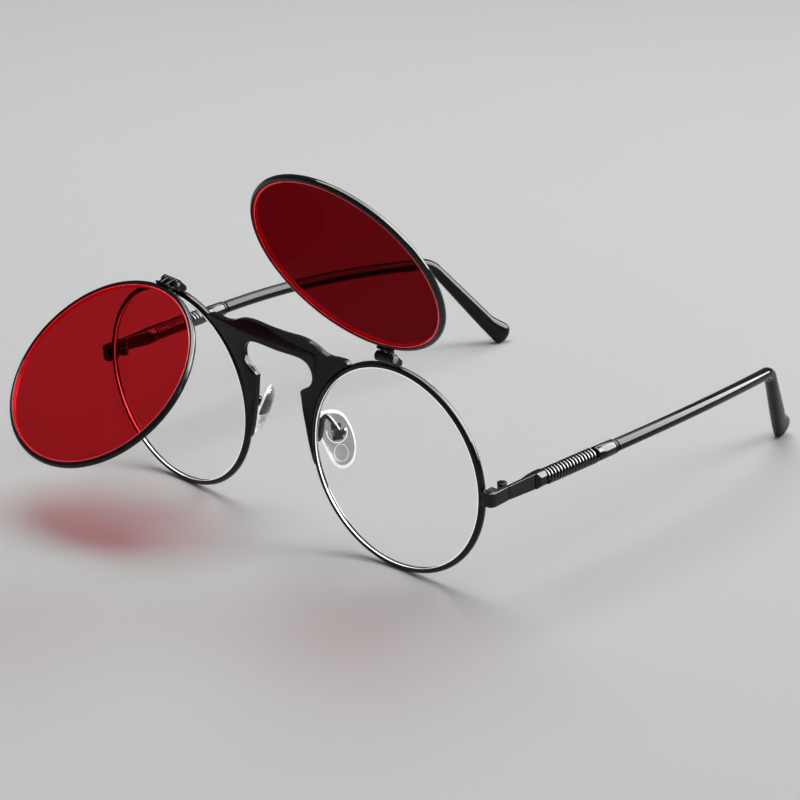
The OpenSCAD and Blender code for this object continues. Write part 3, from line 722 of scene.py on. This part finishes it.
def box_mesh(a, b):
    (x0, y0, z0), (x1, y1, z1) = a, b
    v = [(x0, y0, z0), (x1, y0, z0), (x1, y1, z0), (x0, y1, z0), (x0, y0, z1), (x1, y0, z1), (x1, y1, z1), (x0, y1, z1)]
    return np.array(v, float), [(0, 3, 2, 1), (4, 5, 6, 7), (0, 1, 5, 4), (1, 2, 6, 5), (2, 3, 7, 6), (3, 0, 4, 7)]


def pad_arm(side):
    path = catmull(ARM_PTS, 9)
    d = [unit(path[min(i + 1, len(path) - 1)] - path[max(i - 1, 0)]) for i in range(len(path))]
    ref = np.array([0.92, -0.32, 0.22])
    xs = [unit(np.cross(q, ref)) for q in d]
    ys = [np.cross(q, x) for q, x in zip(d, xs)]
    wire = sweep(list(path), xs, ys, lambda i: circle(0.6, 24))
    # clevis in one folded strip: ear, back, ear
    x0, x1, yb, yi = 0.66, 1.3, PIV[1] - 1.75, PIV[1] - 1.4
    ear = []
    for a in range(-90, 91, 15):
        ear.append((PIV[1] + 0.85 * math.cos(math.radians(a)), PIV[2] + 0.85 * math.sin(math.radians(a))))
    out = [(yb, PIV[2] - 0.85)] + ear + [(yb, PIV[2] + 0.85)]
    parts = [wire]
    for lo, hi in ((-x1, -x0), (x0, x1)):
        m = len(out)
        v = [(lo, y, z) for y, z in out] + [(hi, y, z) for y, z in out]
        f = [tuple(range(m)), tuple(range(2 * m - 1, m - 1, -1))] + [(i, i + m, (i + 1) % m + m, (i + 1) % m) for i in range(m)]
        v, f = bevelled(v, f, 0.06, 2, 40)
        parts.append((pad_space(v), f))
    v, f = box_mesh((-x0 - 0.05, yb, PIV[2] - 0.85), (x0 + 0.05, yi, PIV[2] + 0.85))
    v, f = bevelled(v, f, 0.05, 2, 40)
    parts.append((pad_space(v), f))
    v, f = join(*parts)
    piece(side + "_pad_arm_wire", v, f, ARM, "frame", side, [side + "_pad_arm"], 40)


for side in ("left", "right"):
    nose_pad(side)
    pad_arm(side)


# ------------------------------------------------------------------ small CAD parts keep their own shape
def dress(node, mat, width=0.00008, angle=25, weld=0.000004, clamp=True):
    o = NODE[node]
    o.data.materials.clear()
    o.data.materials.append(mat)
    w = o.modifiers.new("weld", "WELD")
    w.merge_threshold = weld
    b = o.modifiers.new("edges", "BEVEL")
    b.width = width
    b.segments = 2
    b.limit_method = "ANGLE"
    b.angle_limit = math.radians(angle)
    b.harden_normals = False
    b.use_clamp_overlap = clamp
    n = o.modifiers.new("normals", "WEIGHTED_NORMAL")
    n.keep_sharp = False


for side in ("left", "right"):
    dress(side + "_endpiece", BLACK, 0.00016, clamp=False)
    dress(side + "_temple_plate", BLACK, 0.00024, clamp=False)
    dress(side + "_front_ferrule", BLACK, 0.00012, 15)
    dress(side + "_rim_lock", BLACK_MATT, 0.00005)
    dress(side + "_flip_hinge_base", BLACK, 0.0001)
    dress(side + "_flip_leaf", BLACK, 0.0001)
    dress(side + "_pad_core", CORE, 0.00006)
dress("temple_hinge_screws", BLACK, 0.00006)
dress("rim_lock_screws", BLACK_MATT, 0.00003)
for n in ("flip_hinge_pins", "nose_pad_screws"):
    dress(n, SCREW, 0.00004)

# ------------------------------------------------------------------ camera at the photograph's viewing angle
AZ, EL, ROLL = math.radians(43.61), math.radians(24.49), math.radians(-1.60)
DIST, FOCAL = 666.1, 2789.4
TARGET = np.array([11.117, 27.592, 0.0])
bk = np.array([math.sin(AZ) * math.cos(EL), -math.cos(AZ) * math.cos(EL), math.sin(EL)])
rt = np.array([math.cos(AZ), math.sin(AZ), 0.0])
up = np.cross(bk, rt)
r2 = math.cos(ROLL) * rt + math.sin(ROLL) * up
u2 = -math.sin(ROLL) * rt + math.cos(ROLL) * up
eye = ((TARGET + bk * DIST) @ ROT.T + OFF) / 1000
axes = np.stack([ROT @ r2, ROT @ u2, ROT @ bk], 1)
cam_data = bpy.data.cameras.new("camera")
cam_data.sensor_fit = "HORIZONTAL"
cam_data.sensor_width = 36.0
cam_data.lens = 36.0 * FOCAL / 800
cam_data.clip_start, cam_data.clip_end = 0.01, 20
cam = bpy.data.objects.new("camera", cam_data)
m4 = Matrix.Identity(4)
for i in range(3):
    for j in range(3):
        m4[i][j] = float(axes[i][j])
    m4[i][3] = float(eye[i])
cam.matrix_world = m4
bpy.context.scene.collection.objects.link(cam)
bpy.context.scene.camera = cam

# ------------------------------------------------------------------ plain pale floor and soft light
fm = Mat("studio_floor", base=(0.78, 0.78, 0.77), rough=0.9, ior=1.4, spec=0.0)
fv = fm.coords()
fm.l(fm.ramp(fm.noise(fv, 3.0, 2), [(0.2, (0.765, 0.765, 0.76)), (0.8, (0.79, 0.79, 0.785))]), fm.b.inputs["Base Color"])
fme = bpy.data.meshes.new("studio_floor")
fme.from_pydata([(-4, -4, 0), (4, -4, 0), (4, 4, 0), (-4, 4, 0)], [], [(0, 1, 2, 3)])
fme.materials.append(fm.m)
floor = bpy.data.objects.new("studio_floor", fme)
bpy.context.scene.collection.objects.link(floor)

world = bpy.data.worlds.new("studio")
bpy.context.scene.world = world
world.use_nodes = True
wb = world.node_tree.nodes["Background"]
wb.inputs["Color"].default_value = (0.80, 0.84, 0.90, 1)
wb.inputs["Strength"].default_value = 0.18


def softbox(name, direction, dist, size_x, size_y, power, colour=(1, 1, 1), aim=(0.0, 0.01, 0.03), diffuse=True, glossy=True):
    d = bpy.data.lights.new(name, "AREA")
    d.shape = "RECTANGLE"
    d.size, d.size_y = size_x, size_y
    d.energy = power
    d.color = colour
    o = bpy.data.objects.new(name, d)
    p = Vector(aim) + Vector(direction).normalized() * dist
    q = (Vector(aim) - p).to_track_quat("-Z", "Y")
    o.rotation_mode = "QUATERNION"
    o.rotation_quaternion = q
    o.location = p
    o.visible_diffuse = diffuse
    o.visible_glossy = glossy
    o.visible_transmission = False
    bpy.context.scene.collection.objects.link(o)
    return o


softbox("back_right_card", (0.46, 0.69, 0.56), 0.75, 0.72, 0.76, 36.0, diffuse=False)
softbox("upper_back_card", (-0.30, 0.62, 0.74), 0.9, 0.40, 0.34, 2.4, diffuse=False)
softbox("upper_right_card", (0.30, 0.08, 0.95), 0.8, 0.60, 1.7, 50.0, diffuse=False)
softbox("overhead_box", (-0.25, 0.1, 1.0), 1.1, 0.8, 0.8, 6.4, (1.0, 0.99, 0.97), glossy=False)
softbox("back_right_box", (0.5, 0.75, 0.8), 1.1, 0.6, 0.6, 4.0, glossy=False)

bpy.context.scene.view_settings.view_transform = "Standard"

bpy.context.view_layer.update()
